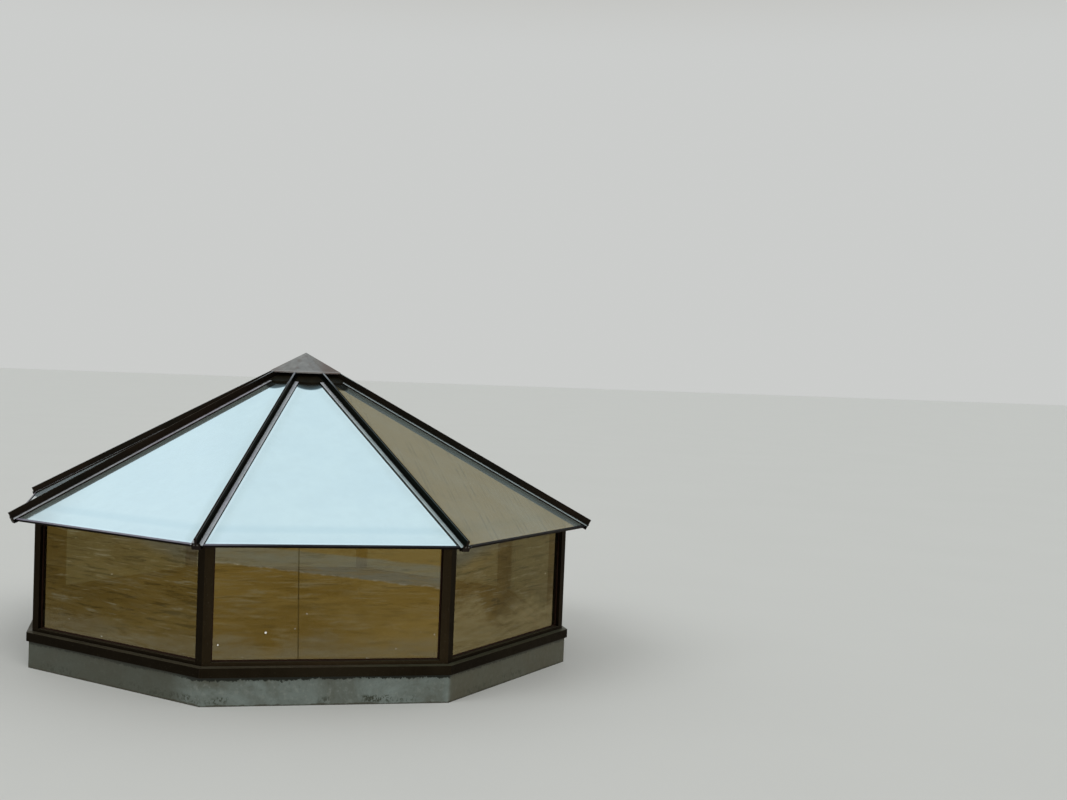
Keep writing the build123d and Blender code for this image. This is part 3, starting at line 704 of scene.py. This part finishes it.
def curb_coating():
    """Grey brushed coating on the curb: patchy, darker on the flanks with painted shade and stains, with
    drips, moss and grime.
    """
    f = Finish("curb_coating_finish")
    across = f.x()
    patch = f.noise(3.4, detail=7.0, rough=0.66, distort=0.5)
    fine = f.noise(38.0, detail=6.0, rough=0.65)
    tone = f.ramp(patch, (0.34, 0.5, 0.66), CURB_PATCHES)
    tone = f.blend(f.span(fine, 0.5, 0.72, to_high=0.45), tone, CURB_PALE)
    tone = f.blend(f.span(fine, 0.45, 0.3, to_high=0.4), tone, CURB_DARK)
    # Flanks: painted shade with stains, by place along X
    right_flank_shade = f.span(across, *RIGHT_FLANK_SHADE, to_high=RIGHT_FLANK_SHADE_SHARE)
    left_flank_shade = f.span(across, *LEFT_FLANK_SHADE, to_high=LEFT_FLANK_SHADE_SHARE)
    flank_shade = f.most(right_flank_shade, left_flank_shade)
    shade = f.blend(f.span(across, *FLANK_SHADE_CHANGE), LEFT_FLANK_SHADE_TONE, RIGHT_FLANK_SHADE_TONE)
    tone = f.blend(flank_shade, tone, shade)

    runs = f.noise(15.0, detail=5.0, rough=0.65, vector=f.stretched((1.0, 1.0, 0.12)))
    drip = f.times(f.span(runs, 0.54, 0.7), f.span(f.height(), *DRIP_TOP), 0.4)
    tone = f.blend(drip, tone, DRIP_TONE)
    ragged = f.noise(55.0, detail=7.0, rough=0.78, vector=f.stretched((1.0, 1.0, 0.7)))
    reach = f.plus(f.height(), f.times(ragged, 0.052), f.times(f.noise(6.0, detail=3.0), 0.03))
    moss = f.times(f.span(reach, *MOSS_EDGE), f.span(flank_shade, 0.0, 0.8, to_low=0.95, to_high=0.45))
    tone = f.blend(moss, tone, MOSS_TONE)
    clumps = f.times(f.span(ragged, 0.50, 0.56), f.span(f.noise(3.2, detail=3.0), 0.48, 0.54))
    clumps = f.times(clumps, f.span(f.height(), *CLUMP_TOP), f.span(f.height(), *CLUMP_FOOT))
    clumps = f.times(clumps, f.span(flank_shade, 0.0, 0.8, to_low=0.85, to_high=0.4))
    tone = f.blend(clumps, tone, CLUMP_TONE)
    ground = f.plus(f.height(), f.times(f.noise(11.0, detail=6.0, rough=0.7), -0.034))
    tone = f.blend(f.times(f.span(ground, *DIRT_EDGE), 0.85), tone, DIRT_TONE)

    gloss = f.span(patch, 0.35, 0.65, to_low=0.55, to_high=0.8)
    relief = f.plus(f.times(patch, 1.5), fine, f.times(f.noise(140.0, detail=3.0), 0.35))
    normal = f.bump(relief, 0.0022, strength=0.7, radius=0.004)
    return f.finish(f.surface(tone, gloss, normal, Specular_IOR_Level=0.3))


def plate_timber():
    f = Finish("plate_timber_finish")
    grain = f.noise(5.0, detail=6.0, rough=0.65, distort=1.2, vector=f.stretched((1.2, 1.2, 22.0)))
    tone = f.ramp(grain, (0.3, 0.55, 0.75), TIMBER_GRAIN)
    tone = f.blend(f.span(f.noise(3.0), 0.5, 0.8, to_high=0.5), tone, TIMBER_DAMP)
    gloss = f.span(grain, 0.3, 0.7, to_low=0.6, to_high=0.8)
    return f.finish(f.surface(tone, gloss, f.bump(grain, 0.0008, strength=0.6, radius=0.0015)))


def screw_steel():
    f = Finish("screw_steel_finish")
    mark = f.noise(600.0, rough=0.6)
    tone = f.blend(f.span(mark, 0.4, 0.7), *SCREW_TONES)
    gloss = f.span(mark, 0.3, 0.7, to_low=0.28, to_high=0.45)
    normal = f.bump(mark, 0.0001, strength=0.4, radius=0.0006)
    return f.finish(f.surface(tone, gloss, normal, Metallic=0.9))


def make_finishes():
    """Finish for each slot; metals give a dark and a worn tone, then their film's share and tone; on hip
    caps and eave trims that film is also painted sky sheen.
    """
    # Flank shares and tones are painted shade on faces turned sideways
    return {
        "bronze_frame": weathered_metal(
            "bronze_frame_finish", (0.024, 0.0165, 0.0080), (0.039, 0.026, 0.0125), 0.7,
            (0.05, 0.042, 0.026), flank_shade=0.75
        ),
        "hip_metal": weathered_metal(
            "hip_metal_finish", (0.012, 0.0095, 0.0065), (0.024, 0.0145, 0.009), 0.95,
            (0.48, 0.50, 0.51), rough=0.34, filmed=cap_film_and_highlights, flank_shade=0.9,
            flank_shade_tone=(0.0055, 0.0095, 0.0080)
        ),
        "eave_metal": weathered_metal(
            "eave_metal_finish", (0.008, 0.006, 0.006), (0.014, 0.011, 0.010), 0.9,
            (0.30, 0.28, 0.33), filmed=trim_film_and_sheen
        ),
        "end_metal": weathered_metal("end_metal_finish", (0.016, 0.012, 0.010), (0.03, 0.022, 0.018)),
        "flashing_metal": weathered_metal(
            "flashing_metal_finish", (0.0135, 0.0095, 0.0048), (0.022, 0.0165, 0.009), 0.8,
            (0.080, 0.070, 0.045), flank_shade=0.5
        ),
        "inner_metal": weathered_metal("inner_metal_finish", (0.014, 0.010, 0.006), (0.026, 0.019, 0.012)),
        "cap_metal": cap_sheet(),
        "collar_sheet": rubber("collar_sheet_finish", (0.007, 0.0055, 0.0025), (0.015, 0.0115, 0.006)),
        "roof_glass": roof_glass(),
        "wall_glass": wall_glass(),
        "glazing_rubber": rubber("glazing_rubber_finish", (0.020, 0.0085, 0.005), (0.030, 0.015, 0.010)),
        "curb_coating": curb_coating(),
        "plate_timber": plate_timber(),
        "screw_steel": screw_steel(),
    }


def dress_nodes(finishes):
    for name, node in nodes.items():
        finish = finishes[slot_of[name]]
        if not node.material_slots:
            node.data.materials.append(finish)
        for place in node.material_slots:
            place.material = finish


def make_floor():
    f = Finish("floor_finish")
    tone = f.blend(f.span(f.noise(0.7), 0.3, 0.7, to_high=0.12), FLOOR_TONE, FLOOR_PATCH_TONE)
    finish = f.finish(f.surface(tone, FLOOR_ROUGHNESS, f.bump(f.noise(60.0), 0.001, strength=0.3)))
    mesh = bpy.data.meshes.new("floor")
    corners = ((-1, -1), (1, -1), (1, 1), (-1, 1))
    mesh.from_pydata([(x * FLOOR_REACH, y * FLOOR_REACH, 0) for x, y in corners], [], [(0, 1, 2, 3)])
    mesh.materials.append(finish)
    floor = bpy.data.objects.new("floor", mesh)
    bpy.context.scene.collection.objects.link(floor)


def make_world():
    """Even light for matt surfaces; camera, mirrors and glass see a pale horizon under a brighter sky."""
    f = Finish("surroundings", world=True)
    bpy.context.scene.world = f.owner
    rise = f.part(f.add("ShaderNodeTexCoord").outputs["Generated"], 2)
    seen = f.blend(f.span(rise, *LOW_SKY_RISE), HORIZON_TONE, LOW_SKY_TONE)
    seen = f.blend(f.span(rise, *HIGH_SKY_RISE), seen, HIGH_SKY_TONE)
    path = f.add("ShaderNodeLightPath").outputs
    direct = f.most(path["Is Camera Ray"], path["Is Glossy Ray"], path["Is Transmission Ray"])
    strength = f.span(direct, 0.0, 1.0, to_low=AMBIENT_STRENGTH, to_high=1.0, smooth=False)
    background = f.add("ShaderNodeBackground")
    f.feed(background.inputs["Color"], f.blend(direct, AMBIENT_TONE, seen))
    f.feed(background.inputs["Strength"], strength)
    output = f.add("ShaderNodeOutputWorld")
    f.tree.links.new(background.outputs[0], output.inputs["Surface"])


def make_lamp(name, place, angle, strength, tone):
    """Soft distant lamp that shines from a place towards the origin; mirrors don't show it."""
    data = bpy.data.lights.new(name, "SUN")
    data.angle = math.radians(angle)
    data.energy = strength
    data.color = tone
    data.specular_factor = LAMP_SHINE
    lamp = bpy.data.objects.new(name, data)
    lamp.location = place
    lamp.rotation_mode = "QUATERNION"
    lamp.rotation_quaternion = (-Vector(place)).to_track_quat("-Z", "Y")
    lamp.visible_glossy = False
    bpy.context.scene.collection.objects.link(lamp)


def main():
    make_camera()
    dress_nodes(make_finishes())
    make_floor()
    make_world()
    for lamp in LAMPS:
        make_lamp(*lamp)
    bpy.context.scene.view_settings.view_transform = "Standard"


main()
